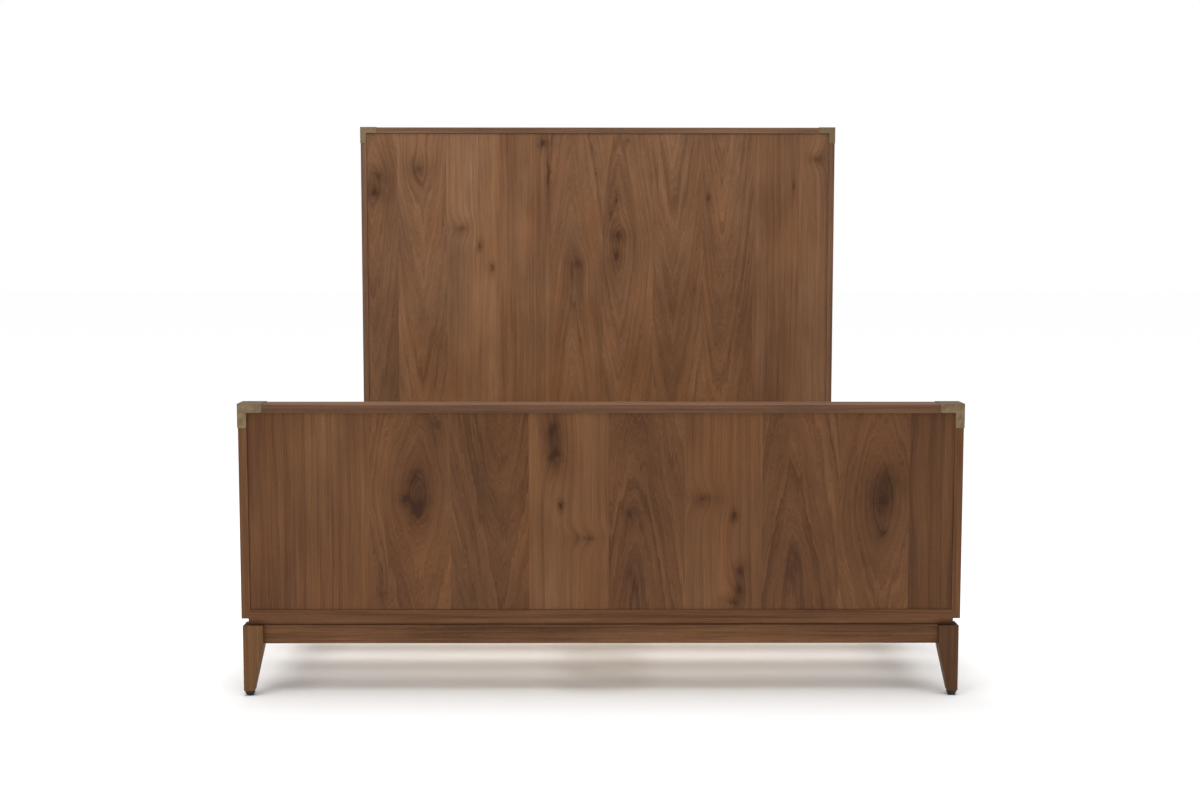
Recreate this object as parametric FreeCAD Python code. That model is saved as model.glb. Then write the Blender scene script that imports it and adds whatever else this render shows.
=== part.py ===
"""Queen-size wooden bed frame: framed head and foot boards on tapered legs, side rails and slats.

Millimetres. The origin is on the floor under the middle of the bed. +X points right when seen
from the foot end, +Y points to the headboard and +Z points up. Both end boards are built at the
foot end and the headboard is then mirrored to its place, so each board's outer face is the one
turned away from the mattress.
"""
import FreeCAD, Part
import math
import os

V = FreeCAD.Vector

# Overall sizes
WIDTH = 1640.0            # across an end board
BOARD_DEPTH = 66.0        # thickness of an end board's border frame
BORDER_GAP = 2046.0       # between the border frames of the two end boards
BOARD_BOTTOM = 181.0      # underside of both border frames above the floor
HEAD_TOP = 1430.0
FOOT_TOP = 672.0

# End boards
BORDER = 20.0             # face width of the border frame
PANEL_RECESS = 3.5        # panel face behind the border face
PANEL_THICKNESS = 18.0
PANEL_JOINT = 0.4         # fine joint between panel and border
POST_WIDTH = 100.0        # upright core battens
BATTEN_HEIGHT = 60.0      # level core battens
BORDER_EASE = 1.2         # rounding on the long edges of the border
SPLINE_THICKNESS = 4.0
SPLINE_WIDTH = 16.0
SPLINE_INSET = 8.0        # spline ends, from the board's two faces

# Brass corner caps
CAP_ARM = 54.0
CAP_FACE = 19.0
CAP_THICKNESS = 1.2
CAP_ROUND = 5.0

# Base under each end board
PLINTH_HEIGHT = 17.0
PLINTH_SIDE_INSET = 12.0
PLINTH_FRONT = 20.0       # plinth front behind the border's outer face
PLINTH_DEPTH = 30.0
LEG_WIDTH = 46.0
LEG_DEPTH = 46.0
LEG_SIDE_INSET = 1.5
LEG_FRONT = 3.0
LEG_BOTTOM_WIDTH = 24.0
LEG_BOTTOM_DEPTH = 26.0
LEG_ROUND = 2.0
STRETCHER_HEIGHT = 44.0
STRETCHER_THICKNESS = 20.0
STRETCHER_FRONT = 15.0
STRETCHER_ROUND = 1.5

# Levelling feet
FOOT_HEIGHT = 12.0        # leg end above the floor with the foot screwed right in
FOOT_RADIUS = 11.5
FOOT_TREAD_RADIUS = 7.0
FOOT_CHAMFER = 6.0
STUD_RADIUS = 4.0
STUD_LENGTH = 30.0
INSERT_RADIUS = 6.0
INSERT_LENGTH = 15.0
FIT = 0.05                # radial clearance of a stud or bolt in its insert
STUD_BORE_RADIUS = 5.0
STUD_BORE_DEPTH = 36.0

# Side rails, cleats and slats
RAIL_INSIDE = 775.0       # inner face of each rail, from the middle
RAIL_THICKNESS = 21.0
RAIL_BOTTOM = 208.0
RAIL_HEIGHT = 180.0
RAIL_ROUND = 3.0
CLEAT_WIDTH = 25.0
CLEAT_HEIGHT = 32.0
CLEAT_END_GAP = 6.0
CLEAT_ROUND = 1.5
SLAT_TOP = 350.0
SLAT_THICKNESS = 18.0
SLAT_WIDTH = 95.0
SLAT_COUNT = 12
SLAT_SIDE_GAP = 3.0
SLAT_ROUND = 3.0

# Centre beam and its two legs
BEAM_WIDTH = 45.0
BEAM_HEIGHT = 70.0
BEAM_END_GAP = 1.0
BEAM_ROUND = 2.0
CENTRE_LEG_SIDE = 45.0
CENTRE_LEG_Y = 345.0
CENTRE_LEG_CHAMFER = 4.0

# Steel hardware
BRACKET_THICKNESS = 3.0
BRACKET_WIDTH = 48.0
BRACKET_LENGTH = 70.0
BRACKET_BOTTOM = 214.0
BRACKET_HEIGHT = 80.0
BOLT_HEIGHTS = (234.0, 274.0)
BOLT_RADIUS = 4.0
BOLT_HOLE_RADIUS = 4.5
BOLT_HEAD_FLATS = 13.0
BOLT_HEAD_HEIGHT = 5.3
BOLT_LENGTH = 35.0
BOLT_HOLE_DEPTH = 39.0    # from the border's inner face, past the bolt's end
BOLT_FROM_RAIL = 27.0     # bolt axis from the rail's inner face
HANGER_THICKNESS = 2.5
HANGER_PLATE_WIDTH = 110.0
HANGER_PLATE_HEIGHT = 70.0
HANGER_SEAT_LENGTH = 40.0
HANGER_CHEEK_HEIGHT = 45.0
HANGER_SCREW_X = 42.0

# Wood screws and dowels
SCREW_RADIUS = 2.25
SCREW_HEAD_RADIUS = 4.5
SCREW_LENGTH = 35.0
SCREW_TIP_RADIUS = 0.4
PAN_LENGTH = 16.0
PAN_HEAD_RADIUS = 4.5
PAN_HEAD_HEIGHT = 2.5
PAN_HEAD_ROUND = 1.5
CLEAT_SCREW_EVERY = 2     # one in this many gaps between slats
LEG_SCREW_OFFSET = 12.0
STRETCHER_SCREW_X = (-500.0, 0.0, 500.0)
STRETCHER_SCREW_BACK = 4.0
BORDER_SCREW_X = (-640.0, -320.0, 80.0, 320.0, 640.0)
BORDER_SCREW_BACK = 7.5
HANGER_SCREW_RISE = (12.0, 48.0)
BRACKET_SCREW_END = 12.0
BRACKET_SCREW_STEP = 26.0
DRIVE_LENGTH = 4.6        # cross recess in each screw head
DRIVE_WIDTH = 1.0
DRIVE_DEPTH = 1.4
DOWEL_RADIUS = 5.0
DOWEL_LENGTH = 40.0
DOWEL_CHAMFER = 1.0
STRETCHER_DOWEL_RISE = (12.0, 28.0)

# Tolerances for picking edges
NEAR = 0.1
PARALLEL = 1e-6

# Places that follow from the sizes above
SIDE = WIDTH / 2.0
BAY_END = BORDER_GAP / 2.0
OUTER = -(BAY_END + BOARD_DEPTH)                 # outer face of the foot board
LEG_TOP = BOARD_BOTTOM - PLINTH_HEIGHT
STRETCHER_BOTTOM = LEG_TOP - STRETCHER_HEIGHT
PANEL_FACE = BAY_END + PANEL_RECESS              # inner panel face, from the middle
CORE_FRONT = OUTER + PANEL_RECESS + PANEL_THICKNESS
CORE_BACK = -(PANEL_FACE + PANEL_THICKNESS)
SLAT_BOTTOM = SLAT_TOP - SLAT_THICKNESS
CLEAT_BOTTOM = SLAT_BOTTOM - CLEAT_HEIGHT
BEAM_BOTTOM = SLAT_BOTTOM - BEAM_HEIGHT
LEG_OUTSIDE = SIDE - LEG_SIDE_INSET
LEG_INSIDE = LEG_OUTSIDE - LEG_WIDTH
FOOT_X = LEG_OUTSIDE - LEG_BOTTOM_WIDTH / 2.0
FOOT_Y = OUTER + LEG_FRONT + LEG_BOTTOM_DEPTH / 2.0
PLINTH_MIDDLE = OUTER + PLINTH_FRONT + PLINTH_DEPTH / 2.0
STRETCHER_MIDDLE = OUTER + STRETCHER_FRONT + STRETCHER_THICKNESS / 2.0
BOLT_X = RAIL_INSIDE - BOLT_FROM_RAIL
HEAD_END = 1
FOOT_END = -1


def box(x0, x1, y0, y1, z0, z1):
    """Block between two corners."""
    return Part.makeBox(x1 - x0, y1 - y0, z1 - z0, V(x0, y0, z0))


def rod(radius, start, direction, length):
    return Part.makeCylinder(radius, length, start, direction)


def prism_along_y(points, y0, y1):
    """Extrudes an outline of (x, z) points from y0 to y1."""
    corners = [V(x, y0, z) for x, z in points]
    face = Part.Face(Part.makePolygon(corners + corners[:1]))
    return face.extrude(V(0, y1 - y0, 0))


def runs_along(edge, axis):
    """True for a straight edge parallel to V axis."""
    if not isinstance(edge.Curve, Part.Line):
        return False
    return edge.tangentAt(edge.FirstParameter).cross(axis).Length < PARALLEL


def rises(edge):
    """True for an edge within 60 degrees of upright."""
    return abs(edge.tangentAt(edge.FirstParameter).z) > 0.5


def rounded(shape, radius, axis, wanted=lambda middle: True):
    """Rounds the straight edges along an axis whose middle point is wanted."""
    edges = [
        e for e in shape.Edges
        if runs_along(e, axis) and wanted(e.CenterOfMass)
    ]
    return shape.makeFillet(radius, edges)


def less(shape, tools):
    """Cuts every tool from a shape."""
    return shape.cut(list(tools)).removeSplitter() if tools else shape


def at_end(shape, end):
    """Leaves a shape at the foot end, or mirrors it to the head end."""
    return shape if end == FOOT_END else shape.mirror(V(0, 0, 0), V(0, 1, 0))


def on_side(shape, side):
    """Leaves a shape on the left, or mirrors it to the right."""
    return shape if side < 0 else shape.mirror(V(0, 0, 0), V(1, 0, 0))


# Fasteners. A screw's plain form also cuts its own hole.

def countersunk_screw(head, direction):
    """Screw whose flat head lies in the surface at head and points along direction."""
    cone = Part.makeCone(
        SCREW_HEAD_RADIUS, SCREW_RADIUS, SCREW_HEAD_RADIUS - SCREW_RADIUS, head, direction
    )
    tip = 2.0 * SCREW_RADIUS
    shank = rod(SCREW_RADIUS, head, direction, SCREW_LENGTH - tip)
    point = Part.makeCone(
        SCREW_RADIUS, SCREW_TIP_RADIUS, tip, head + direction * (SCREW_LENGTH - tip), direction
    )
    return cone.fuse([shank, point]).removeSplitter()


def with_recess(screw, top, direction):
    """A screw with a cross recess sunk into the top of its head."""
    half = DRIVE_LENGTH / 2.0
    wide = DRIVE_WIDTH / 2.0
    cross = box(-half, half, -wide, wide, 0, DRIVE_DEPTH).fuse(
        box(-wide, wide, -half, half, 0, DRIVE_DEPTH)
    )
    cross.Placement = FreeCAD.Placement(top, FreeCAD.Rotation(V(0, 0, 1), direction))
    return screw.cut(cross)


def holes(make, places):
    """Solid forms of the screws at some places, for cutting their holes."""
    return [make(head, direction) for head, direction in places]


def screws(make, places, head_height=0.0):
    """The screws themselves, each with a cross recess in its head."""
    return [
        with_recess(make(head, direction), head - direction * head_height, direction)
        for head, direction in places
    ]


def pan_screw(seat, direction):
    """Screw whose domed head stands on the plate at seat and points along direction."""
    shank = rod(SCREW_RADIUS, seat, direction, PAN_LENGTH)
    flat = rod(PAN_HEAD_RADIUS, seat - direction * PAN_HEAD_HEIGHT, direction, PAN_HEAD_HEIGHT)
    rim = [e for e in flat.Edges if (e.CenterOfMass - seat).dot(direction) < -NEAR]
    dome = flat.makeFillet(
        PAN_HEAD_ROUND, [e for e in rim if isinstance(e.Curve, Part.Circle)]
    )
    return shank.fuse(dome).removeSplitter()


def hex_bolt(seat, direction):
    """Bolt whose hexagon head stands on the plate at seat and points along -Y or +Y."""
    radius = BOLT_HEAD_FLATS / math.sqrt(3.0)
    corners = [
        seat + V(radius * math.cos(a), 0, radius * math.sin(a))
        for a in [math.radians(60.0 * n) for n in range(7)]
    ]
    head = Part.Face(Part.makePolygon(corners)).extrude(direction * -BOLT_HEAD_HEIGHT)
    return head.fuse(rod(BOLT_RADIUS, seat, direction, BOLT_LENGTH)).removeSplitter()


def dowel(middle, direction):
    body = rod(DOWEL_RADIUS, middle - direction * (DOWEL_LENGTH / 2.0), direction, DOWEL_LENGTH)
    ends = [e for e in body.Edges if isinstance(e.Curve, Part.Circle)]
    return body.makeChamfer(DOWEL_CHAMFER, ends)


def sleeve(radius, bore, start, direction, length):
    return rod(radius, start, direction, length).cut(rod(bore, start, direction, length))


def base_screw_places():
    """Head and direction of each foot end base screw: down into legs and stretcher, up into
    the bottom border."""
    down = V(0, 0, -1)
    leg_middle = (LEG_OUTSIDE + LEG_INSIDE) / 2.0
    offsets = (-LEG_SCREW_OFFSET, LEG_SCREW_OFFSET)
    in_legs = [side * leg_middle + offset for side in (-1, 1) for offset in offsets]
    places = [(V(x, PLINTH_MIDDLE, BOARD_BOTTOM), down) for x in in_legs]
    for x in STRETCHER_SCREW_X:
        places.append((V(x, STRETCHER_MIDDLE + STRETCHER_SCREW_BACK, BOARD_BOTTOM), down))
    for x in BORDER_SCREW_X:
        places.append((V(x, PLINTH_MIDDLE + BORDER_SCREW_BACK, LEG_TOP), V(0, 0, 1)))
    return places


def stretcher_dowels():
    """Two dowels in each end of the foot end stretcher."""
    return [
        dowel(V(side * LEG_INSIDE, STRETCHER_MIDDLE, STRETCHER_BOTTOM + rise), V(1, 0, 0))
        for side in (-1, 1)
        for rise in STRETCHER_DOWEL_RISE
    ]


def rail_bolts():
    """Bolts through the rail brackets into the foot board."""
    seat = -(PANEL_FACE - BRACKET_THICKNESS)
    return [
        hex_bolt(V(side * BOLT_X, seat, z), V(0, -1, 0))
        for side in (-1, 1)
        for z in BOLT_HEIGHTS
    ]


def rail_inserts():
    return [
        sleeve(INSERT_RADIUS, BOLT_RADIUS + FIT, V(side * BOLT_X, CORE_BACK, z),
               V(0, -1, 0), INSERT_LENGTH)
        for side in (-1, 1)
        for z in BOLT_HEIGHTS
    ]


def mitre_splines(top):
    """Plywood splines across the four mitres of the foot end border frame."""
    found = []
    for side in (-1, 1):
        for edge, up in ((top, 1), (BOARD_BOTTOM, -1)):
            half = SPLINE_WIDTH / 2.0
            flat = SPLINE_THICKNESS / 2.0
            plate = box(-half, half, OUTER + SPLINE_INSET, -BAY_END - SPLINE_INSET, -flat, flat)
            plate.rotate(V(0, 0, 0), V(0, 1, 0), 45.0 * side * up)
            plate.translate(V(side * (SIDE - BORDER / 2.0), 0, edge - up * BORDER / 2.0))
            found.append(plate)
    return found


def hanger_screw_places():
    """Pan head screws through the beam hanger's back plate into the foot board."""
    seat = -(PANEL_FACE - HANGER_THICKNESS)
    return [
        (V(x, seat, BEAM_BOTTOM + rise), V(0, -1, 0))
        for x in (-HANGER_SCREW_X, HANGER_SCREW_X)
        for rise in HANGER_SCREW_RISE
    ]


def bracket_screw_places():
    """Pan head screws through the rail brackets into the foot ends of the rails."""
    first = -(PANEL_FACE - BRACKET_LENGTH + BRACKET_SCREW_END)
    return [
        (V(side * (RAIL_INSIDE - BRACKET_THICKNESS), y, z), V(side, 0, 0))
        for side in (-1, 1)
        for y in (first, first - BRACKET_SCREW_STEP)
        for z in BOLT_HEIGHTS
    ]


def slat_middles():
    """Y of each slat's middle, from the foot end."""
    gap = (2.0 * PANEL_FACE - SLAT_COUNT * SLAT_WIDTH) / (SLAT_COUNT + 1)
    first = -PANEL_FACE + gap + SLAT_WIDTH / 2.0
    return [first + n * (SLAT_WIDTH + gap) for n in range(SLAT_COUNT)]


def slat_screw_places():
    """One screw in each end of each slat, down into the cleat."""
    x = RAIL_INSIDE - CLEAT_WIDTH / 2.0
    return [
        (V(side * x, y, SLAT_TOP), V(0, 0, -1))
        for side in (-1, 1)
        for y in slat_middles()
    ]


def cleat_screw_places():
    """Screws through each cleat into its rail, midway between slats."""
    middles = slat_middles()
    gaps = [(a + b) / 2.0 for a, b in zip(middles, middles[1:])]
    z = CLEAT_BOTTOM + CLEAT_HEIGHT / 2.0
    return [
        (V(side * (RAIL_INSIDE - CLEAT_WIDTH), y, z), V(side, 0, 0))
        for side in (-1, 1)
        for y in gaps[::CLEAT_SCREW_EVERY]
    ]


def beam_dowels():
    """One dowel between each centre leg and the beam."""
    return [dowel(V(0, y, BEAM_BOTTOM), V(0, 0, 1)) for y in (-CENTRE_LEG_Y, CENTRE_LEG_Y)]


# End boards, at the foot end

def border_frame(top, fasteners):
    """Four mitred members with eased edges: top and bottom rails, left and right stiles."""
    low = BOARD_BOTTOM
    outlines = {
        "top_rail": [(-SIDE, top), (SIDE, top), (SIDE - BORDER, top - BORDER),
                     (-SIDE + BORDER, top - BORDER)],
        "bottom_rail": [(-SIDE, low), (SIDE, low), (SIDE - BORDER, low + BORDER),
                        (-SIDE + BORDER, low + BORDER)],
        "left_stile": [(-SIDE, low), (-SIDE, top), (-SIDE + BORDER, top - BORDER),
                       (-SIDE + BORDER, low + BORDER)],
    }
    members = {}
    for name, outline in outlines.items():
        member = prism_along_y(outline, OUTER, -BAY_END)
        along = V(0, 0, 1) if name == "left_stile" else V(1, 0, 0)
        members[name] = rounded(member, BORDER_EASE, along)
    members["right_stile"] = on_side(members["left_stile"], 1)
    return {name: less(member, fasteners) for name, member in members.items()}


def board_panel(top, y0, fasteners):
    """Veneered panel standing inside the border with a fine joint all round."""
    x = SIDE - BORDER - PANEL_JOINT
    low = BOARD_BOTTOM + BORDER + PANEL_JOINT
    high = top - BORDER - PANEL_JOINT
    return less(box(-x, x, y0, y0 + PANEL_THICKNESS, low, high), fasteners)


def board_core(top, fasteners):
    """Hidden battens between the two panels: three uprights and four level pieces."""
    low = BOARD_BOTTOM + BORDER
    high = top - BORDER
    edge = SIDE - BORDER
    half = POST_WIDTH / 2.0
    battens = [
        box(-edge, -edge + POST_WIDTH, CORE_FRONT, CORE_BACK, low, high),
        box(-half, half, CORE_FRONT, CORE_BACK, low, high),
        box(edge - POST_WIDTH, edge, CORE_FRONT, CORE_BACK, low, high),
    ]
    for x0, x1 in ((-edge + POST_WIDTH, -half), (half, edge - POST_WIDTH)):
        for z0 in (low, high - BATTEN_HEIGHT):
            battens.append(box(x0, x1, CORE_FRONT, CORE_BACK, z0, z0 + BATTEN_HEIGHT))
    return Part.makeCompound([less(batten, fasteners) for batten in battens])


def corner_cap(top):
    """Folded brass cap on the top left corner: a face plate on each side, joined over the edge."""
    t = CAP_THICKNESS
    x0 = -SIDE - t
    z1 = top + t
    outline = [
        (x0, z1), (-SIDE + CAP_ARM, z1), (-SIDE + CAP_ARM, top - CAP_FACE),
        (-SIDE + CAP_FACE, top - CAP_FACE), (-SIDE + CAP_FACE, top - CAP_ARM), (x0, top - CAP_ARM),
    ]
    cap = prism_along_y(outline, OUTER - t, -BAY_END + t)
    arm_ends = (
        V(-SIDE + CAP_ARM, 0, top - CAP_FACE),
        V(-SIDE + CAP_FACE, 0, top - CAP_ARM),
    )
    cap = rounded(
        cap, CAP_ROUND, V(0, 1, 0),
        lambda m: min(V(m.x - p.x, 0, m.z - p.z).Length for p in arm_ends) < NEAR,
    )
    return cap.cut(box(-SIDE, SIDE, OUTER, -BAY_END, BOARD_BOTTOM, top))


def plinth(fasteners):
    x = SIDE - PLINTH_SIDE_INSET
    y0 = OUTER + PLINTH_FRONT
    return less(box(-x, x, y0, y0 + PLINTH_DEPTH, LEG_TOP, BOARD_BOTTOM), fasteners)


def stretcher(fasteners):
    y0 = OUTER + STRETCHER_FRONT
    bar = box(-LEG_INSIDE, LEG_INSIDE, y0, y0 + STRETCHER_THICKNESS, STRETCHER_BOTTOM, LEG_TOP)
    return less(rounded(bar, STRETCHER_ROUND, V(1, 0, 0)), fasteners)


def left_leg(fasteners):
    """Square leg, straight beside the stretcher, then tapered on its two inner faces."""
    x0 = -LEG_OUTSIDE
    y0 = OUTER + LEG_FRONT

    def outline(width, depth, z):
        corners = [
            V(x0, y0, z), V(x0 + width, y0, z), V(x0 + width, y0 + depth, z), V(x0, y0 + depth, z),
        ]
        return Part.makePolygon(corners + corners[:1])

    taper = Part.makeLoft(
        [
            outline(LEG_BOTTOM_WIDTH, LEG_BOTTOM_DEPTH, FOOT_HEIGHT),
            outline(LEG_WIDTH, LEG_DEPTH, STRETCHER_BOTTOM),
        ],
        True, True,
    )
    block = box(x0, x0 + LEG_WIDTH, y0, y0 + LEG_DEPTH, STRETCHER_BOTTOM, LEG_TOP)
    leg = block.fuse(taper).removeSplitter()
    upright = [e for e in leg.Edges if rises(e)]
    top = [e for e in leg.Edges if e.CenterOfMass.z > LEG_TOP - NEAR]
    leg = leg.makeFillet(LEG_ROUND, upright + top)
    axis = V(-FOOT_X, FOOT_Y, FOOT_HEIGHT)
    bores = [
        rod(INSERT_RADIUS, axis, V(0, 0, 1), INSERT_LENGTH),
        rod(STUD_BORE_RADIUS, axis, V(0, 0, 1), STUD_BORE_DEPTH),
    ]
    return less(leg, bores + fasteners)


def levelling_foot(x, y):
    """Black nylon tread moulded on a steel stud."""
    r = FOOT_RADIUS
    tread = FOOT_TREAD_RADIUS
    points = [
        V(0, 0, 0), V(tread, 0, 0), V(r, 0, FOOT_CHAMFER), V(r, 0, FOOT_HEIGHT),
        V(STUD_RADIUS, 0, FOOT_HEIGHT), V(STUD_RADIUS, 0, FOOT_HEIGHT + STUD_LENGTH),
        V(0, 0, FOOT_HEIGHT + STUD_LENGTH),
    ]
    foot = Part.Face(Part.makePolygon(points + points[:1])).revolve(V(0, 0, 0), V(0, 0, 1), 360.0)
    foot.translate(V(x, y, 0))
    return foot


def foot_insert(x, y):
    """Threaded insert that holds a levelling foot's stud, flush with the leg's end."""
    return sleeve(
        INSERT_RADIUS, STUD_RADIUS + FIT, V(x, y, FOOT_HEIGHT), V(0, 0, 1), INSERT_LENGTH
    )


# Rails, slats and centre support

def left_rail(fasteners):
    """Side rail standing inside the border frames, its ends on the board panels."""
    rail = box(
        -RAIL_INSIDE - RAIL_THICKNESS, -RAIL_INSIDE, -PANEL_FACE, PANEL_FACE,
        RAIL_BOTTOM, RAIL_BOTTOM + RAIL_HEIGHT,
    )
    return less(rounded(rail, RAIL_ROUND, V(0, 1, 0)), fasteners)


def left_cleat(fasteners):
    y = PANEL_FACE - CLEAT_END_GAP
    cleat = box(-RAIL_INSIDE, -RAIL_INSIDE + CLEAT_WIDTH, -y, y, CLEAT_BOTTOM, SLAT_BOTTOM)
    free_edges = rounded(cleat, CLEAT_ROUND, V(0, 1, 0), lambda m: m.x > -RAIL_INSIDE + NEAR)
    return less(free_edges, fasteners)


def slat(y, fasteners):
    x = RAIL_INSIDE - SLAT_SIDE_GAP
    half = SLAT_WIDTH / 2.0
    board = box(-x, x, y - half, y + half, SLAT_BOTTOM, SLAT_TOP)
    return less(rounded(board, SLAT_ROUND, V(1, 0, 0)), fasteners)


def centre_beam(fasteners):
    y = PANEL_FACE - HANGER_THICKNESS - BEAM_END_GAP
    half = BEAM_WIDTH / 2.0
    beam = box(-half, half, -y, y, BEAM_BOTTOM, SLAT_BOTTOM)
    return less(rounded(beam, BEAM_ROUND, V(0, 1, 0)), fasteners)


def centre_leg(y, fasteners):
    half = CENTRE_LEG_SIDE / 2.0
    post = box(-half, half, y - half, y + half, FOOT_HEIGHT, BEAM_BOTTOM)
    foot_end = [e for e in post.Edges if e.CenterOfMass.z < FOOT_HEIGHT + NEAR]
    post = post.makeChamfer(CENTRE_LEG_CHAMFER, foot_end)
    axis = V(0, y, FOOT_HEIGHT)
    bores = [
        rod(INSERT_RADIUS, axis, V(0, 0, 1), INSERT_LENGTH),
        rod(STUD_BORE_RADIUS, axis, V(0, 0, 1), STUD_BORE_DEPTH),
    ]
    return less(post, bores + fasteners)


# Steel brackets, at the foot end

def rail_bracket(fasteners):
    """Folded steel angle in the left corner: one flange on the panel, one on the rail."""
    t = BRACKET_THICKNESS
    corner_x = -RAIL_INSIDE
    corner_y = -PANEL_FACE
    z0 = BRACKET_BOTTOM
    z1 = z0 + BRACKET_HEIGHT
    on_panel = box(corner_x, corner_x + BRACKET_WIDTH, corner_y, corner_y + t, z0, z1)
    on_rail = box(corner_x, corner_x + t, corner_y, corner_y + BRACKET_LENGTH, z0, z1)
    angle = on_panel.fuse(on_rail).removeSplitter()
    clearance = [
        rod(BOLT_HOLE_RADIUS, V(-BOLT_X, corner_y, z), V(0, 1, 0), t)
        for z in BOLT_HEIGHTS
    ]
    return less(angle, clearance + fasteners)


def beam_hanger(fasteners):
    """Steel seat for the beam's end: back plate, floor and two cheeks."""
    t = HANGER_THICKNESS
    y0 = -PANEL_FACE
    seat_end = y0 + t + HANGER_SEAT_LENGTH
    half = BEAM_WIDTH / 2.0
    floor_z = BEAM_BOTTOM - t
    cheek_top = floor_z + HANGER_CHEEK_HEIGHT
    plate_half = HANGER_PLATE_WIDTH / 2.0
    hanger = box(-plate_half, plate_half, y0, y0 + t, floor_z, floor_z + HANGER_PLATE_HEIGHT)
    hanger = hanger.fuse([
        box(-half - t, half + t, y0, seat_end, floor_z, BEAM_BOTTOM),
        box(-half - t, -half, y0, seat_end, floor_z, cheek_top),
        box(half, half + t, y0, seat_end, floor_z, cheek_top),
    ])
    return less(hanger.removeSplitter(), fasteners)


def end_board(end, name, top):
    """All pieces of one end board and its base, named and put at their end of the bed."""
    screw_holes = holes(countersunk_screw, base_screw_places())
    dowels = stretcher_dowels()
    splines = mitre_splines(top)
    inserts = [
        rod(INSERT_RADIUS, V(side * BOLT_X, CORE_BACK, z), V(0, -1, 0), INSERT_LENGTH)
        for side in (-1, 1)
        for z in BOLT_HEIGHTS
    ]
    bolt_holes = [
        rod(BOLT_HOLE_RADIUS, V(side * BOLT_X, -BAY_END, z), V(0, -1, 0), BOLT_HOLE_DEPTH)
        for side in (-1, 1)
        for z in BOLT_HEIGHTS
    ]
    hanger_holes = holes(pan_screw, hanger_screw_places())
    leg = left_leg(screw_holes + dowels)
    cap = corner_cap(top)
    pieces = border_frame(top, splines + screw_holes)
    pieces["outer_panel"] = board_panel(top, OUTER + PANEL_RECESS, [])
    pieces["inner_panel"] = board_panel(top, CORE_BACK, bolt_holes + hanger_holes)
    pieces["core"] = board_core(top, inserts + bolt_holes)
    pieces["left_corner_cap"] = cap
    pieces["right_corner_cap"] = on_side(cap, 1)
    pieces["plinth"] = plinth(screw_holes)
    pieces["stretcher"] = stretcher(screw_holes + dowels)
    pieces["left_leg"] = leg
    pieces["right_leg"] = on_side(leg, 1)
    return {name + "_" + part: at_end(shape, end) for part, shape in pieces.items()}


def both_ends(make, *sizes):
    """The same pieces at the foot end and mirrored at the head end."""
    return [at_end(shape, end) for end in (FOOT_END, HEAD_END) for shape in make(*sizes)]


def main():
    slatted = slat_screw_places() + cleat_screw_places()
    slat_holes = holes(countersunk_screw, slatted)
    rail_holes = both_ends(holes, pan_screw, bracket_screw_places())
    nodes = {}
    nodes.update(end_board(FOOT_END, "footboard", FOOT_TOP))
    nodes.update(end_board(HEAD_END, "headboard", HEAD_TOP))

    rail = left_rail(slat_holes + rail_holes)
    cleat = left_cleat(slat_holes)
    for side, word in ((-1, "left"), (1, "right")):
        nodes[word + "_side_rail"] = on_side(rail, side)
        nodes[word + "_slat_cleat"] = on_side(cleat, side)
    for n, y in enumerate(slat_middles()):
        nodes["slat_%02d" % (n + 1)] = slat(y, slat_holes)

    pins = beam_dowels()
    nodes["centre_beam"] = centre_beam(pins)
    inserts = []
    for y, word in ((-CENTRE_LEG_Y, "foot"), (CENTRE_LEG_Y, "head")):
        nodes["centre_leg_" + word + "_side"] = centre_leg(y, pins)
        nodes["centre_foot_" + word + "_side"] = levelling_foot(0, y)
        inserts.append(foot_insert(0, y))
    for y, end in ((FOOT_Y, "foot"), (-FOOT_Y, "head")):
        for x, word in ((-FOOT_X, "left"), (FOOT_X, "right")):
            nodes[end + "_" + word + "_levelling_foot"] = levelling_foot(x, y)
            inserts.append(foot_insert(x, y))

    bracket = rail_bracket(holes(pan_screw, bracket_screw_places()))
    hanger = beam_hanger(holes(pan_screw, hanger_screw_places()))
    pan_places = bracket_screw_places() + hanger_screw_places()
    groups = {
        "foot_inserts": inserts,
        "rail_brackets": both_ends(lambda: [bracket, on_side(bracket, 1)]),
        "rail_bolts": both_ends(rail_bolts),
        "rail_inserts": both_ends(rail_inserts),
        "beam_hangers": both_ends(lambda: [hanger]),
        "pan_head_screws": both_ends(screws, pan_screw, pan_places, PAN_HEAD_HEIGHT),
        "countersunk_screws": screws(countersunk_screw, slatted)
        + both_ends(screws, countersunk_screw, base_screw_places()),
        "dowels": pins + both_ends(stretcher_dowels),
        "mitre_splines": mitre_splines(FOOT_TOP)
        + [at_end(plate, HEAD_END) for plate in mitre_splines(HEAD_TOP)],
    }
    for name, solids in groups.items():
        nodes[name] = Part.makeCompound(solids)

    os.makedirs("parts", exist_ok=True)
    for name, shape in nodes.items():
        if not shape.isValid():
            raise ValueError(name + " isn't a valid shape")
        shape.exportStep("parts/" + name + ".step")
    print(len(nodes), "nodes")


main()
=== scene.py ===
"""Looks for the walnut bed frame: procedural woods, brass, nylon and steel around the CAD frame.

Metres. +X is right seen from the foot end, +Y points to the headboard and +Z is up.
"""

import math

import bpy
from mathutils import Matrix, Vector


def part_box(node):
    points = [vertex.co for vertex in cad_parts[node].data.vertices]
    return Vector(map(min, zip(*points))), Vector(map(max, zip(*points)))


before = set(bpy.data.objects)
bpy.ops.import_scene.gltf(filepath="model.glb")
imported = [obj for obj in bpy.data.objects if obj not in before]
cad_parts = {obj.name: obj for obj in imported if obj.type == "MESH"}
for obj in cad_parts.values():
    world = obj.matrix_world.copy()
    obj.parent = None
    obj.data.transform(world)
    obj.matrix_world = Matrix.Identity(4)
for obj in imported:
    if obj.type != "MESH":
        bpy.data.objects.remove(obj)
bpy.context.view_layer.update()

FOOT_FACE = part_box("footboard_top_rail")[0][1]


# Shader arithmetic

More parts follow.
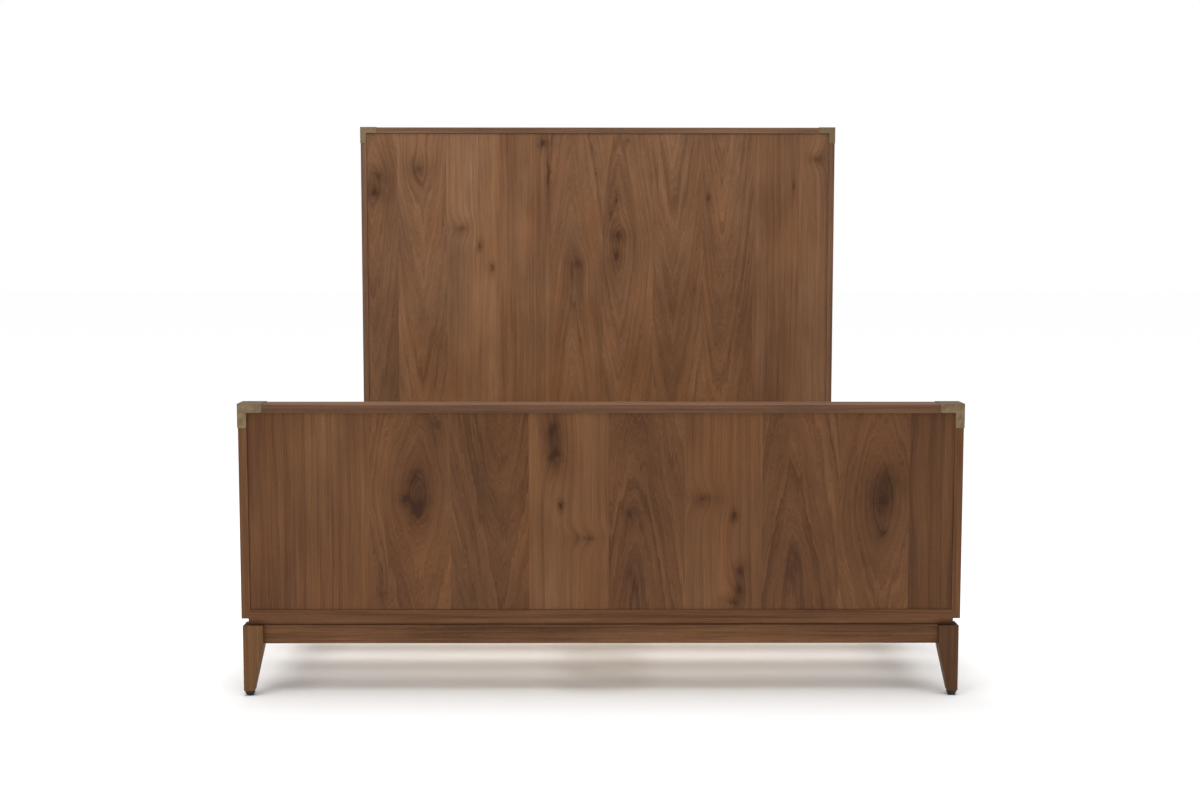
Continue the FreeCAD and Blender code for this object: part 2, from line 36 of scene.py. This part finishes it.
class Value:
    """A shader socket that plain arithmetic can be written with."""

    def __init__(self, graph, socket):
        self.graph = graph
        self.socket = socket

    def __add__(self, other):
        return self.graph.math("ADD", self, other)

    def __sub__(self, other):
        return self.graph.math("SUBTRACT", self, other)

    def __rsub__(self, other):
        return self.graph.math("SUBTRACT", other, self)

    def __mul__(self, other):
        return self.graph.math("MULTIPLY", self, other)

    def __truediv__(self, other):
        return self.graph.math("DIVIDE", self, other)

    def __pow__(self, other):
        return self.graph.math("POWER", self, other)

    __radd__ = __add__


class Graph:
    """One material and short calls that add nodes to it."""

    def __init__(self, name):
        self.material = bpy.data.materials.new(name)
        self.material.use_nodes = True
        self.tree = self.material.node_tree
        self.tree.nodes.clear()

    def put(self, socket, value):
        if isinstance(value, Value):
            value = value.socket
        if isinstance(value, bpy.types.NodeSocket):
            self.tree.links.new(value, socket)
        else:
            socket.default_value = value

    def node(self, kind, inputs=None, **settings):
        made = self.tree.nodes.new(kind)
        for key, value in settings.items():
            setattr(made, key, value)
        for key, value in (inputs or {}).items():
            self.put(made.inputs[key], value)
        return made

    def math(self, operation, *values, clamp=False):
        made = self.node("ShaderNodeMath", operation=operation, use_clamp=clamp)
        for socket, value in zip(made.inputs, values):
            self.put(socket, value)
        return Value(self, made.outputs[0])

    def position(self):
        """Object coordinates, which ride with the piece, as x, y, z in metres."""
        where = self.node("ShaderNodeTexCoord").outputs["Object"]
        split = self.node("ShaderNodeSeparateXYZ", {0: where})
        return [Value(self, out) for out in split.outputs]

    def noise(self, x, y, z=0.0, detail=2.0, roughness=0.5):
        """Smooth noise, about 0.5 in the middle, of coordinates given in noise cells."""
        where = self.node("ShaderNodeCombineXYZ", {0: x, 1: y, 2: z}).outputs[0]
        made = self.node(
            "ShaderNodeTexNoise",
            {"Vector": where, "Scale": 1.0, "Detail": detail, "Roughness": roughness},
        )
        return Value(self, made.outputs["Fac"])

    def random(self, w):
        """The same number from 0 to 1 wherever w is the same."""
        made = self.node("ShaderNodeTexWhiteNoise", {"W": w}, noise_dimensions="1D")
        return Value(self, made.outputs["Value"])

    def between(self, value, low, high, to_low=0.0, to_high=1.0):
        """Smooth step from to_low to to_high as value goes from low to high."""
        made = self.node(
            "ShaderNodeMapRange",
            {
                "Value": value, "From Min": low, "From Max": high,
                "To Min": to_low, "To Max": to_high,
            },
            interpolation_type="SMOOTHSTEP",
        )
        return Value(self, made.outputs["Result"])

    def bump_field(self, dx, dz, width, height):
        """1 at a point and falling to 0 away from it, over a width and a height."""
        square = (dx / width) ** 2.0 + (dz / height) ** 2.0
        return self.math("EXPONENT", square * -1.0)

    def colours(self, value, stops):
        """Colour ramp through (place, colour) stops."""
        ramp = self.node("ShaderNodeValToRGB", {0: value})
        points = ramp.color_ramp.elements
        while len(points) < len(stops):
            points.new(0.5)
        for point, (place, colour) in zip(points, stops):
            point.position = place
            point.color = (*colour, 1.0)
        return ramp.outputs[0]

    def mix(self, factor, a, b, blend="MIX"):
        """Colour a, turned into b as far as factor says; the node's sockets 6, 7 and 2."""
        made = self.node("ShaderNodeMix", data_type="RGBA", blend_type=blend)
        self.put(made.inputs["Factor"], factor)
        for socket, colour in ((made.inputs[6], a), (made.inputs[7], b)):
            self.put(socket, (*colour, 1.0) if isinstance(colour, tuple) else colour)
        return made.outputs[2]

    def finish(self, colour, roughness, height=None, bump=None, **constants):
        """Principled surface; height is in units of bump metres."""
        shader = self.node("ShaderNodeBsdfPrincipled")
        self.put(shader.inputs["Base Color"], colour)
        self.put(shader.inputs["Roughness"], roughness)
        if height is not None:
            relief = self.node(
                "ShaderNodeBump", {"Height": height, "Distance": bump, "Strength": 1.0}
            )
            self.put(shader.inputs["Normal"], relief.outputs[0])
        for key, value in constants.items():
            shader.inputs[key.replace("_", " ")].default_value = value
        out = self.node("ShaderNodeOutputMaterial")
        self.tree.links.new(shader.outputs[0], out.inputs[0])
        return self.material


# Walnut

WALNUT = [
    (0.0, (0.050, 0.0180, 0.0060)),
    (0.3, (0.108, 0.0430, 0.0160)),
    (0.5, (0.163, 0.0690, 0.0265)),
    (0.7, (0.226, 0.1010, 0.0405)),
    (1.0, (0.335, 0.1660, 0.0730)),
]


LACQUER = 0.07
SATIN_BUMP = 0.00005
RAW_BUMP = 0.00012


def greyer(palette, green=1.14, blue=1.42):
    """A palette with more green and blue in it."""
    return [(place, (r, g * green, b * blue)) for place, (r, g, b) in palette]


def satin(graph, colour, shade, relief, lacquer=LACQUER):
    """Satin lacquer over wood: a thin clear coat, a little duller in the dark grain."""
    roughness = 0.56 - shade * 0.12
    return graph.finish(
        colour, roughness, relief, SATIN_BUMP,
        Coat_Weight=lacquer, Coat_Roughness=0.36, Coat_IOR=1.5, Specular_IOR_Level=0.16,
    )


class Leaf:
    """One upright leaf of veneer, from its left edge to the next leaf's.

    tone is its lightness and figure the middle (x, z) of its cathedral: arches point up above
    that and down below it. slope is how steeply the arches close, 0 for straight grain, flame is
    how strongly they show, and rings how far apart they lie.
    """

    def __init__(self, left, tone, figure, slope, flame, rings=0.021):
        self.left = left
        self.tone = tone
        self.figure = figure
        self.slope = slope
        self.flame = flame
        self.rings = rings


def by_leaf(graph, x, leaves, number):
    """A value that steps from leaf to leaf."""
    total = number(leaves[0])
    for before, leaf in zip(leaves, leaves[1:]):
        change = number(leaf) - number(before)
        step = graph.math("GREATER_THAN", x, leaf.left)
        total = graph.math("MULTIPLY_ADD", step, change, total)
    return total


# late wood darkens with this power of the way across its ring, and fades from this far on
LATE_WOOD_POWER = 2.2
LATE_WOOD_END = 0.86
FAINTEST_RING = 0.25
RING_VARIETY = 0.9


def growth_rings(graph, turns, seed):
    """Dark late wood that builds up across each ring and ends sharply, 0 to about 1."""
    part = graph.math("FRACT", turns)
    strength = graph.random(graph.math("FLOOR", turns) + seed) * RING_VARIETY + FAINTEST_RING
    return part ** LATE_WOOD_POWER * graph.between(part, 1.0, LATE_WOOD_END) * strength


# how much each layer of noise in the grain moves the shade, in veneer and in sawn timber
VENEER_LAYERS = {"broad": 0.30, "streaks": 0.34, "fine": 0.40, "fibres": 0.20, "cloud": 0.55}
TIMBER_LAYERS = {"broad": 0.28, "streaks": 0.34, "fine": 0.40, "fibres": 0.20, "cloud": 0.42}
TIMBER_RINGS = 0.16
PORE_DARKNESS = 0.09
PORE_EDGES = (0.60, 0.72)
TONE_LIFT = 0.03


def layered(noises, weights):
    """Noises summed by the weights of their names, about 0 in the middle."""
    total = 0.0
    for name, weight in weights.items():
        total = (noises[name] - 0.5) * weight + total
    return total


class Knot:
    """A knot, mark or streak at (x, z): its radius, how dark it is, and height over width."""

    def __init__(self, x, z, radius, dark, stretch=1.8):
        self.x = x
        self.z = z
        self.radius = radius
        self.dark = dark
        self.stretch = stretch


# a knot this wide and high has an outline as ragged as any, and a smaller one less so
RAGGED_WIDTH = 0.012
RAGGED_HEIGHT = 0.024


def knot_fields(graph, x, z, knots, seed):
    """How far knots push the grain aside, how dark they make it, and their black eyes."""
    ragged = {"detail": 4.0, "roughness": 0.6}
    ragged_x = (graph.noise(x * 60.0, seed, z * 34.0, **ragged) - 0.5) * 0.036
    ragged_z = (graph.noise(x * 44.0 + 7.0, seed, z * 44.0, **ragged) - 0.5) * 0.05
    push = 0.0
    dark = 0.0
    eye = 0.0
    for knot in knots:
        dx = x - knot.x
        dz = z - knot.z
        wide = knot.radius
        high = knot.radius * knot.stretch
        push = graph.bump_field(dx, dz, wide * 2.0, high * 2.2) * (wide * 0.8) + push
        dx = dx + ragged_x * min(1.0, wide / RAGGED_WIDTH)
        dz = dz + ragged_z * min(1.0, high / RAGGED_HEIGHT)
        dark = graph.bump_field(dx, dz, wide * 1.5, high * 1.4) * (knot.dark * 0.25) + dark
        eye = graph.bump_field(dx, dz, wide * 0.5, high * 0.45) * (knot.dark * 0.28) + eye
    return push, dark, eye


# 2 would round the flames' arches off to ellipses, and 1 would bring them to straight points
ARCH_POWER = 1.3
# keeps the noise of one leaf away from its neighbours'
LEAF_SPREAD = 37.0


def veneer(name, leaves, knots, seed, palette=WALNUT):
    """Vertical walnut leaves side by side, with flames, knots, streaks and pores."""
    g = Graph(name)
    x, _, z = g.position()
    tone = by_leaf(g, x, leaves, lambda leaf: leaf.tone)
    figure_x = by_leaf(g, x, leaves, lambda leaf: leaf.figure[0])
    figure_z = by_leaf(g, x, leaves, lambda leaf: leaf.figure[1])
    slope = by_leaf(g, x, leaves, lambda leaf: leaf.slope)
    flame = by_leaf(g, x, leaves, lambda leaf: leaf.flame)
    rings = by_leaf(g, x, leaves, lambda leaf: leaf.rings)
    own = by_leaf(g, x, leaves, lambda leaf: leaf.left) * LEAF_SPREAD + seed
    push, dark, eye = knot_fields(g, x, z, knots, seed)

    # the flame's jagged edges come from noise that is long up the leaf and short across it
    wander = (g.noise(x * 7.0, own, z * 2.0, detail=2.0) - 0.5) * 0.022
    jagged = (g.noise(x * 70.0, own, z * 4.0, detail=3.0, roughness=0.6) - 0.5) * 0.060
    across = x - figure_x + wander
    along = (z - figure_z) * slope + jagged * slope * 3.0 + wander * 0.6
    arch = (
        g.math("ABSOLUTE", across) ** ARCH_POWER + g.math("ABSOLUTE", along) ** ARCH_POWER
    )
    ring = arch ** (1.0 / ARCH_POWER) - push

    lines = growth_rings(g, ring / rings, own)
    fibres = g.noise(ring * 1500.0, own, z * 24.0, detail=1.0)
    noises = {
        "broad": g.noise(ring * 32.0, own, z * 0.8),
        "streaks": g.noise(ring * 130.0, own + 3.0, z * 2.0, detail=3.0, roughness=0.6),
        "fine": g.noise(ring * 430.0, own + 5.0, z * 6.0, roughness=0.65),
        "fibres": fibres,
        "cloud": g.noise(x * 7.0, own, z * 3.2, detail=3.0),
    }
    pore = g.between(g.noise(ring * 2600.0, own, z * 95.0, detail=0.0), *PORE_EDGES)

    texture = (
        layered(noises, VENEER_LAYERS) - lines * flame - pore * PORE_DARKNESS - dark - eye
    )
    shade = g.math("ADD", texture, tone + TONE_LIFT, clamp=True)
    brown = g.colours(shade, palette)
    hue = g.noise(x * 9.0, own + 9.0, z * 2.4, detail=2.0)
    warm = g.mix(g.between(hue, 0.45, 0.70, 0.0, 0.6), brown, (1.07, 0.98, 0.86), "MULTIPLY")
    colour = g.mix(g.between(hue, 0.48, 0.28, 0.0, 0.6), warm, (0.94, 0.99, 1.06), "MULTIPLY")
    relief = (fibres - 0.5) * 0.4 - pore * 0.7 - eye
    return satin(g, colour, shade, relief)


def other_side(leaves, knots):
    """The leaves and knots of a board's other panel: the same log, turned end for end."""
    edges = [-leaf.left for leaf in leaves[1:]][::-1]
    lefts = [leaves[0].left] + edges
    turned = [
        Leaf(left, leaf.tone, (-leaf.figure[0], leaf.figure[1]), leaf.slope, leaf.flame, leaf.rings)
        for left, leaf in zip(lefts, leaves[::-1])
    ]
    return turned, [Knot(-k.x, k.z, k.radius, k.dark, k.stretch) for k in knots]


AXES = {"x": 0, "y": 1, "z": 2}


RINGS_PER_METRE = 80.0


def solid_wood(name, grain, palette, tone, contrast=1.0, seed=0.0, lacquer=LACQUER):
    """Sawn timber whose fibres run along one axis, with rings that carry round the faces.

    lacquer is the weight of its clear coat, and 0 leaves it raw.
    """
    g = Graph(name)
    coordinates = g.position()
    along = coordinates.pop(AXES[grain])
    a, b = coordinates
    bend = g.noise(a * 7.0 + seed, b * 7.0, along * 0.9, detail=2.0) - 0.5
    ring = a * 0.75 + b * 0.55 + bend * 0.05
    lines = growth_rings(g, ring * RINGS_PER_METRE + seed, seed)
    fibres = g.noise(a * 1400.0, b * 1400.0, along * 24.0, detail=1.0)
    noises = {
        "broad": g.noise(a * 28.0, b * 28.0, along * 0.9 + seed),
        "streaks": g.noise(
            a * 140.0, b * 140.0, along * 2.2 + seed, detail=3.0, roughness=0.6
        ),
        "fine": g.noise(a * 420.0, b * 420.0, along * 6.0 + seed, roughness=0.65),
        "fibres": fibres,
        "cloud": g.noise(a * 6.0, b * 6.0, along * 2.6 + seed, detail=3.0),
    }
    pore = g.between(g.noise(a * 2400.0, b * 2400.0, along * 95.0, detail=0.0), *PORE_EDGES)
    texture = (
        layered(noises, TIMBER_LAYERS) - lines * TIMBER_RINGS - pore * PORE_DARKNESS
    )
    shade = g.math("ADD", texture * contrast, tone + TONE_LIFT, clamp=True)
    colour = g.colours(shade, palette)
    relief = (fibres - 0.5) * 0.5 - pore * 0.7
    if lacquer:
        return satin(g, colour, shade, relief, lacquer)
    return g.finish(colour, 0.72 - shade * 0.12, relief, RAW_BUMP, Specular_IOR_Level=0.4)


PINE = [
    (0.0, (0.36, 0.20, 0.09)),
    (0.4, (0.58, 0.39, 0.20)),
    (0.7, (0.72, 0.53, 0.31)),
    (1.0, (0.80, 0.64, 0.42)),
]


def brass():
    """Aged brass, brushed along y, with worn patches and dark spots."""
    g = Graph("aged_brass")
    x, y, z = g.position()
    patina = g.noise(x * 70.0, y * 70.0, z * 70.0, detail=4.0, roughness=0.6)
    brush = g.noise(x * 900.0, y * 60.0, z * 900.0, detail=2.0)
    spots = g.between(g.noise(x * 420.0, y * 420.0, z * 420.0, detail=2.0), 0.60, 0.72)
    worn = g.between(patina, 0.35, 0.68)
    colour = g.mix(worn, (0.235, 0.168, 0.098), (0.315, 0.228, 0.132))
    colour = g.mix(spots * 0.25, colour, (0.12, 0.085, 0.05))
    roughness = 0.50 - worn * 0.14 + (brush - 0.5) * 0.14
    return g.finish(
        colour, roughness, (brush - 0.5) * 0.6 - spots * 0.4, 0.00005, Metallic=1.0
    )


THREAD_PITCH = 0.00125
STUD_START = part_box("footboard_left_leg")[0][2] + 0.0001


def foot_nylon():
    """Moulded black nylon tread below, bright steel stud above it."""
    g = Graph("nylon_and_stud")
    x, y, z = g.position()
    grain = g.noise(x * 900.0, y * 900.0, z * 900.0, detail=2.0)
    scuff = g.between(g.noise(x * 120.0, y * 120.0, z * 300.0, detail=3.0), 0.55, 0.75)
    nylon = g.mix(scuff * 0.5, (0.014, 0.014, 0.015), (0.05, 0.048, 0.045))
    thread = g.math("SINE", z * (math.tau / THREAD_PITCH))
    stud = g.math("GREATER_THAN", z, STUD_START)
    colour = g.mix(stud, nylon, (0.48, 0.48, 0.46))
    roughness = 0.55 - scuff * 0.1 - stud * 0.25
    return g.finish(colour, roughness, grain * 0.4 + thread * stud * 2.0, 0.0001)


def powder_coat():
    """Black powder-coated steel with a fine orange-peel skin."""
    g = Graph("black_powder_coat")
    x, y, z = g.position()
    peel = g.noise(x * 700.0, y * 700.0, z * 700.0, detail=2.0)
    dust = g.noise(x * 25.0, y * 25.0, z * 25.0, detail=3.0)
    colour = g.mix(dust, (0.020, 0.020, 0.021), (0.045, 0.044, 0.043))
    return g.finish(colour, 0.42 + (dust - 0.5) * 0.2, peel, 0.00008, IOR=1.5)


def zinc():
    """Bright zinc plate with slight yellow and blue bloom."""
    g = Graph("zinc_plate")
    x, y, z = g.position()
    bloom = g.noise(x * 160.0, y * 160.0, z * 160.0, detail=3.0)
    colour = g.colours(
        bloom, [(0.3, (0.50, 0.50, 0.47)), (0.5, (0.62, 0.61, 0.58)), (0.7, (0.55, 0.58, 0.62))]
    )
    return g.finish(colour, 0.32 + (bloom - 0.5) * 0.25, bloom, 0.00003, Metallic=1.0)


# The two boards' leaves, left to right: left edge, tone, figure middle, slope, flame, rings

FOOT_LEAVES = [
    Leaf(-0.80, 0.45, (-1.05, 0.45), 0.01, 0.10),
    Leaf(-0.695, 0.46, (-0.90, 0.30), 0.02, 0.12),
    Leaf(-0.525, 0.52, (-0.415, 0.46), 0.24, 0.13, 0.015),
    Leaf(-0.342, 0.45, (-0.228, 1.05), 0.15, 0.22),
    Leaf(-0.164, 0.56, (-0.42, 0.40), 0.02, 0.12),
    Leaf(0.017, 0.48, (0.075, -0.10), 0.17, 0.24),
    Leaf(0.191, 0.55, (-0.06, 0.30), 0.02, 0.12),
    Leaf(0.365, 0.45, (0.435, -0.15), 0.15, 0.24),
    Leaf(0.54, 0.47, (0.640, 0.43), 0.24, 0.13, 0.015),
    Leaf(0.70, 0.33, (0.98, 0.40), 0.01, 0.10),
]
FOOT_KNOTS = [
    Knot(-0.416, 0.437, 0.018, 1.3),
    Knot(-0.422, 0.500, 0.036, 0.75, 1.3),
    Knot(-0.446, 0.455, 0.012, 0.9, 1.0),
    Knot(-0.372, 0.625, 0.018, 0.5, 1.4),
    Knot(-0.497, 0.236, 0.012, 0.4, 1.0),
    Knot(-0.108, 0.612, 0.018, 0.9, 2.2),
    Knot(-0.104, 0.555, 0.015, 1.0, 2.0),
    Knot(-0.092, 0.440, 0.006, 1.5),
    Knot(-0.030, 0.366, 0.024, 0.55, 0.45),
    Knot(0.066, 0.419, 0.013, 0.7),
    Knot(0.072, 0.270, 0.026, 0.45, 2.2),
    Knot(0.234, 0.456, 0.024, 0.6, 0.6),
    Knot(0.302, 0.417, 0.006, 1.5),
    Knot(0.316, 0.290, 0.010, 1.0),
    Knot(0.316, 0.248, 0.010, 1.0),
    Knot(0.300, 0.218, 0.020, 0.9, 0.8),
    Knot(0.436, 0.290, 0.020, 0.4, 2.6),
    Knot(0.637, 0.452, 0.018, 1.2),
    Knot(0.645, 0.503, 0.034, 0.65, 1.4),
    Knot(0.640, 0.379, 0.011, 0.7),
]
HEAD_LEAVES = [
    Leaf(-0.80, 0.43, (-0.78, 1.20), 0.14, 0.12, 0.018),
    Leaf(-0.695, 0.50, (-0.61, 2.05), 0.11, 0.14),
    Leaf(-0.525, 0.59, (-0.80, 1.0), 0.02, 0.10),
    Leaf(-0.342, 0.53, (-0.66, 1.2), 0.02, 0.10),
    Leaf(-0.164, 0.48, (-0.09, 0.35), 0.12, 0.15),
    Leaf(0.017, 0.54, (0.072, 0.99), 0.16, 0.13, 0.018),
    Leaf(0.191, 0.49, (0.26, 2.0), 0.12, 0.15),
    Leaf(0.365, 0.47, (0.43, 2.0), 0.11, 0.13),
    Leaf(0.54, 0.47, (0.30, 0.90), 0.02, 0.11),
    Leaf(0.70, 0.53, (1.0, 1.0), 0.01, 0.10),
]
HEAD_KNOTS = [
    Knot(-0.772, 1.207, 0.018, 1.1, 1.2),
    Knot(-0.760, 1.262, 0.026, 0.7, 1.3),
    Knot(-0.623, 1.285, 0.024, 0.6, 1.4),
    Knot(-0.475, 1.082, 0.026, 0.7, 0.7),
    Knot(-0.410, 1.022, 0.008, 1.0, 2.6),
    Knot(-0.366, 0.946, 0.009, 0.9, 2.0),
    Knot(-0.188, 1.378, 0.012, 1.2, 1.6),
    Knot(-0.171, 1.270, 0.007, 1.0, 12.0),
    Knot(-0.066, 0.958, 0.024, 0.55, 1.4),
    Knot(0.105, 1.384, 0.009, 0.6, 1.2),
    Knot(0.066, 1.180, 0.007, 0.9, 4.0),
    Knot(0.046, 1.130, 0.007, 0.8, 4.0),
    Knot(0.070, 1.060, 0.026, 1.0, 0.9),
    Knot(0.065, 0.988, 0.016, 1.1, 2.2),
    Knot(0.384, 1.190, 0.006, 0.8, 3.4),
    Knot(0.680, 1.230, 0.005, 0.7, 4.0),
    Knot(0.757, 1.323, 0.028, 0.6, 0.6),
]


def walnut_timbers():
    """Solid walnut materials, by the end of their nodes' names."""
    # painted sheen: the headboard's top rail and stiles get this greyer palette, standing in for
    # white light reflected off their lacquer
    painted_sheen_palette = greyer(WALNUT, 1.22, 1.75)
    olive = greyer(WALNUT, 1.08, 1.05)
    foot_stile = solid_wood("walnut_foot_stile", "z", WALNUT, 0.45, seed=7.0)
    head_stile = solid_wood("walnut_head_stile", "z", painted_sheen_palette, 0.42, seed=17.0)
    return {
        "footboard_top_rail": solid_wood(
            "walnut_foot_top", "x", WALNUT, 0.43, seed=3.0, lacquer=0.5
        ),
        "headboard_top_rail": solid_wood(
            "walnut_head_top", "x", painted_sheen_palette, 0.42, seed=13.0, lacquer=0.4
        ),
        "bottom_rail": solid_wood("walnut_bottom_rail", "x", WALNUT, 0.45, seed=4.0),
        # painted light: the plinth's tone is much lighter than the other walnut, offsetting the
        # shade of its recess under the border
        "plinth": solid_wood("walnut_plinth_painted_light", "x", WALNUT, 0.76, contrast=1.3, seed=12.0),
        "stretcher": solid_wood("walnut_stretcher", "x", WALNUT, 0.53, contrast=1.7, seed=11.0),
        "side_rail": solid_wood("walnut_side_rail", "y", WALNUT, 0.50, seed=5.0),
        "footboard_left_stile": foot_stile,
        "footboard_right_stile": foot_stile,
        "headboard_left_stile": head_stile,
        "headboard_right_stile": head_stile,
        # painted shade: the right-hand legs get a darker tone than the left-hand ones, standing in
        # for light falling from the left
        "left_leg": solid_wood("walnut_left_leg", "z", olive, 0.49, seed=8.0),
        "right_leg": solid_wood("walnut_right_leg_painted_shade", "z", olive, 0.29, seed=9.0),
    }


def panels():
    """Veneer of the four panels, by node."""
    greyed_palette = greyer(WALNUT)
    foot_back = other_side(FOOT_LEAVES, FOOT_KNOTS)
    head_back = other_side(HEAD_LEAVES, HEAD_KNOTS)
    return {
        "footboard_outer_panel": veneer("footboard_outer", FOOT_LEAVES, FOOT_KNOTS, 2.0),
        "headboard_inner_panel": veneer("headboard_inner", HEAD_LEAVES, HEAD_KNOTS, 5.0, greyed_palette),
        "footboard_inner_panel": veneer("footboard_inner", *foot_back, 21.0),
        "headboard_outer_panel": veneer("headboard_outer", *head_back, 34.0, greyed_palette),
    }


def hidden_timbers_and_metals():
    """Materials of the inner timbers, the metal and the nylon, by the end of the nodes' names."""
    raw = {"lacquer": 0.0}
    lengthwise = solid_wood("pine_lengthwise", "y", PINE, 0.55, contrast=0.7, seed=2.0, **raw)
    beech = solid_wood("beech_joints", "x", PINE, 0.38, contrast=0.5, seed=10.0, **raw)
    nylon = foot_nylon()
    black = powder_coat()
    return {
        "corner_cap": brass(),
        "core": solid_wood("poplar_core", "z", PINE, 0.45, contrast=0.5, seed=6.0, **raw),
        "slat_cleat": lengthwise,
        "centre_beam": lengthwise,
        "levelling_foot": nylon,
        "centre_foot_foot_side": nylon,
        "centre_foot_head_side": nylon,
        "rail_brackets": black,
        "beam_hangers": black,
        "dowels": beech,
        "mitre_splines": beech,
    }


def finishes():
    """The material of every CAD node, by the node's name."""
    slat = solid_wood("pine_slat", "x", PINE, 0.62, contrast=0.6, seed=1.0, lacquer=0.0)
    post = solid_wood("pine_post", "z", PINE, 0.55, contrast=0.7, seed=4.0, lacquer=0.0)
    plate = zinc()
    endings = {**walnut_timbers(), **panels(), **hidden_timbers_and_metals()}
    chosen = {}
    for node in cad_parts:
        if node.startswith("slat_"):
            chosen[node] = slat
        elif node.startswith("centre_leg"):
            chosen[node] = post
        else:
            found = [material for end, material in endings.items() if node.endswith(end)]
            chosen[node] = found[0] if found else plate
    return chosen


def dress():
    for node, material in finishes().items():
        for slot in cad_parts[node].material_slots:
            slot.material = material


# Studio

FLOOR_REACH = 30.0


def add_floor():
    """A plain floor, out to the horizon of the white room."""
    g = Graph("studio_floor")
    x, y, _ = g.position()
    mottle = g.noise(x * 3.0, y * 3.0, detail=3.0)
    material = g.finish(g.mix(mottle, (0.935, 0.935, 0.935), (0.955, 0.955, 0.955)), 0.95)
    mesh = bpy.data.meshes.new("floor")
    r = FLOOR_REACH
    corners = [(-r, -r, 0.0), (r, -r, 0.0), (r, r, 0.0), (-r, r, 0.0)]
    mesh.from_pydata(corners, [], [(0, 1, 2, 3)])
    mesh.materials.append(material)
    floor = bpy.data.objects.new("floor", mesh)
    bpy.context.scene.collection.objects.link(floor)


def add_light(name, kind, place, target, power, **settings):
    """A lamp at a place, turned towards a target."""
    lamp = bpy.data.lights.new(name, kind)
    lamp.energy = power
    for key, value in settings.items():
        setattr(lamp, key, value)
    light = bpy.data.objects.new(name, lamp)
    light.location = place
    aim = Vector(target) - Vector(place)
    light.rotation_euler = aim.to_track_quat("-Z", "Y").to_euler()
    bpy.context.scene.collection.objects.link(light)


def add_world(seen, lit):
    """A white studio: the walls look white, and light the object only gently."""
    world = bpy.data.worlds.new("studio")
    world.use_nodes = True
    tree = world.node_tree
    background = tree.nodes["Background"]
    background.inputs["Color"].default_value = (1.0, 1.0, 1.0, 1.0)
    path = tree.nodes.new("ShaderNodeLightPath")
    strength = tree.nodes.new("ShaderNodeMapRange")
    strength.inputs["To Min"].default_value = lit
    strength.inputs["To Max"].default_value = seen
    tree.links.new(path.outputs["Is Camera Ray"], strength.inputs["Value"])
    tree.links.new(strength.outputs["Result"], background.inputs["Strength"])
    bpy.context.scene.world = world


def add_lights():
    """A broad soft ceiling, a panel that faces the headboard and one that faces the footboard."""
    add_world(seen=1.0, lit=0.30)
    add_light("ceiling", "SUN", (0.0, -0.6, 5.0), (0.0, 0.0, 0.0), 2.5, angle=math.radians(45.0))
    add_light(
        "over_bed", "AREA", (-0.2, -0.2, 2.9), (0.1, 1.0, 1.0), 34.0,
        shape="RECTANGLE", size=1.8, size_y=1.0,
    )
    add_light(
        "key", "AREA", (-3.0, -4.0, 2.4), (-0.6, -1.0, 0.5), 16.0,
        shape="RECTANGLE", size=1.6, size_y=1.6,
    )
    bpy.context.scene.view_settings.view_transform = "Standard"


# the camera that was fitted to the photograph: metres, degrees down, and radians of roll and turn
CAMERA_RIGHT = -0.0225
CAMERA_DISTANCE = 3.7994
CAMERA_HEIGHT = 1.0375
CAMERA_DOWN = 5.348
CAMERA_ROLL = -0.0005
CAMERA_TURN = -0.0051


def add_camera():
    lens = bpy.data.cameras.new("camera")
    lens.sensor_width = 36.0
    lens.lens = 50.78
    camera = bpy.data.objects.new("camera", lens)
    camera.location = (CAMERA_RIGHT, FOOT_FACE - CAMERA_DISTANCE, CAMERA_HEIGHT)
    camera.rotation_euler = (math.radians(90.0 - CAMERA_DOWN), CAMERA_ROLL, CAMERA_TURN)
    bpy.context.scene.collection.objects.link(camera)
    bpy.context.scene.camera = camera


dress()
add_floor()
add_lights()
add_camera()
